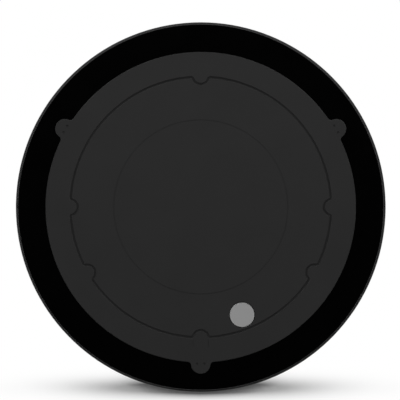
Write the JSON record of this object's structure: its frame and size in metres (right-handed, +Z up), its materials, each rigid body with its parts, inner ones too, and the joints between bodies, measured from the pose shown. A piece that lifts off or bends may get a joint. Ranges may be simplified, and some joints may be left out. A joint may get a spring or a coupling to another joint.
{
  "type": "robot vacuum",
  "caption": "Low disc-shaped robot vacuum with a lift-off lid, power button, sprung front bumper, wheels on swing arms, caster, rubber brush and a dust bin that pulls out at the rear.",
  "frame": {"origin": "centre of the disc's footprint, on the floor", "axes": "+Z up along the disc's axis, -Y towards the front with the bumper, +X to the picture's right"},
  "size_m": [0.33, 0.33, 0.08],
  "materials": {
    "rim_black": "smooth black",
    "deck_grey": "fine matte grain",
    "side_grey": "fine matte grain",
    "button_grey": "satin light grey",
    "underside_black": "moulded grain",
    "inner_black": "moulded",
    "inner_grey": "moulded",
    "smoke_window": "dark smooth window",
    "soft_strip": "soft matte",
    "tyre_rubber": "ribbed rubber",
    "hub_grey": "moulded",
    "brush_rubber": "green rubber fins",
    "brush_plastic": "moulded",
    "frame_plastic": "moulded",
    "steel": "turned",
    "motor_metal": "plated can",
    "contact_metal": "plated strip",
    "screw_metal": "zinc plated",
    "board_green": "solder mask",
    "component_black": "moulded",
    "cell_wrap": "shrink-wrapped cells",
    "bin_smoke": "smoky clear plastic",
    "filter_paper": "pleated",
    "latch_grey": "satin"
  },
  "bodies": {
    "body": {"chassis": "underside_black", "rear_wall": "side_grey", "upper_housing": "rim_black", "deck_ring": "deck_grey", "deck_pins": "steel", "button_switch": "component_black", "main_board": "board_green", "board_components": "component_black", "board_screws": "screw_metal", "battery_pack": "cell_wrap", "battery_door": "underside_black", "battery_door_screws": "screw_metal", "chassis_screws": "screw_metal", "charge_contacts": "contact_metal", "drop_sensor_windows": "smoke_window", "fan_housing": "inner_grey", "fan_motor": "motor_metal", "suction_duct": "inner_grey", "brush_well": "inner_black", "brush_frame": "frame_plastic", "brush_bushes": "frame_plastic", "brush_gearbox": "inner_grey", "brush_motor": "motor_metal", "bumper_hangers": "steel", "bumper_switches": "component_black", "wheel_well_left": "inner_black", "wheel_well_right": "inner_black", "pivot_pin_left": "steel", "pivot_pin_right": "steel", "suspension_spring_left": "steel", "suspension_spring_right": "steel", "caster_socket": "inner_black"},
    "bumper": {"bumper_shell": "side_grey", "bumper_strip": "soft_strip", "sensor_window": "smoke_window"},
    "lid": {"lid": "deck_grey"},
    "button": {"power_button": "button_grey"},
    "arm_left": {"swing_arm_left": "inner_black", "drive_motor_left": "motor_metal"},
    "arm_right": {"swing_arm_right": "inner_black", "drive_motor_right": "motor_metal"},
    "wheel_left": {"tyre_left": "tyre_rubber", "wheel_hub_left": "hub_grey", "axle_left": "steel"},
    "wheel_right": {"tyre_right": "tyre_rubber", "wheel_hub_right": "hub_grey", "axle_right": "steel"},
    "caster_swivel": {"caster_fork": "inner_black", "caster_axle": "steel"},
    "caster_roller": {"caster_wheel": "frame_plastic"},
    "brush": {"brush_core": "brush_plastic", "brush_blades": "brush_rubber"},
    "fan": {"fan_impeller": "inner_grey"},
    "dust_bin": {"bin_body": "bin_smoke", "bin_cover": "bin_smoke", "bin_filter": "filter_paper", "filter_frame": "frame_plastic", "bin_face": "side_grey"},
    "latch": {"bin_latch": "latch_grey"}
  },
  "joints": [
    {"name": "bumper_slide", "type": "slide", "parent": "body", "child": "bumper", "axis": [0, 1, 0], "range_m": [0, 0.002], "stiffness_N_per_m": 600, "springref_m": -0.002},
    {"name": "button_press", "type": "slide", "parent": "body", "child": "button", "axis": [0, 0, -1], "range_m": [0, 0.0012], "stiffness_N_per_m": 800, "springref_m": -0.0004},
    {"name": "lid_lift", "type": "slide", "parent": "body", "child": "lid", "axis": [0, 0, 1], "range_m": [0, 0.08]},
    {"name": "bin_slide", "type": "slide", "parent": "body", "child": "dust_bin", "axis": [0, 1, 0], "range_m": [0, 0.12]},
    {"name": "latch_press", "type": "slide", "parent": "dust_bin", "child": "latch", "axis": [0, -1, 0], "range_m": [0, 0.002], "stiffness_N_per_m": 800, "springref_m": -0.0005},
    {"name": "suspension_left", "type": "hinge", "parent": "body", "child": "arm_left", "pos_m": [-0.09, -0.046, 0.038], "axis": [-1, 0, 0], "range_deg": [0, 24], "stiffness_Nm_per_rad": 0.3, "springref_deg": 40.11, "deforming": ["suspension_spring_left"]},
    {"name": "wheel_spin_left", "type": "hinge", "parent": "arm_left", "child": "wheel_left", "pos_m": [-0.112, 0, 0.034], "axis": [1, 0, 0], "continuous": true},
    {"name": "suspension_right", "type": "hinge", "parent": "body", "child": "arm_right", "pos_m": [0.09, -0.046, 0.038], "axis": [-1, 0, 0], "range_deg": [0, 24], "stiffness_Nm_per_rad": 0.3, "springref_deg": 40.11, "deforming": ["suspension_spring_right"]},
    {"name": "wheel_spin_right", "type": "hinge", "parent": "arm_right", "child": "wheel_right", "pos_m": [0.112, 0, 0.034], "axis": [1, 0, 0], "continuous": true},
    {"name": "caster_turn", "type": "hinge", "parent": "body", "child": "caster_swivel", "pos_m": [0, -0.118, 0.03], "axis": [0, 0, 1], "continuous": true},
    {"name": "caster_roll", "type": "hinge", "parent": "caster_swivel", "child": "caster_roller", "pos_m": [0, -0.111, 0.012], "axis": [1, 0, 0], "continuous": true},
    {"name": "brush_spin", "type": "hinge", "parent": "body", "child": "brush", "pos_m": [0, 0.046, 0.0215], "axis": [1, 0, 0], "continuous": true},
    {"name": "fan_spin", "type": "hinge", "parent": "body", "child": "fan", "pos_m": [-0.035, 0.038, 0.058], "axis": [0, 0, 1], "continuous": true}
  ]
}
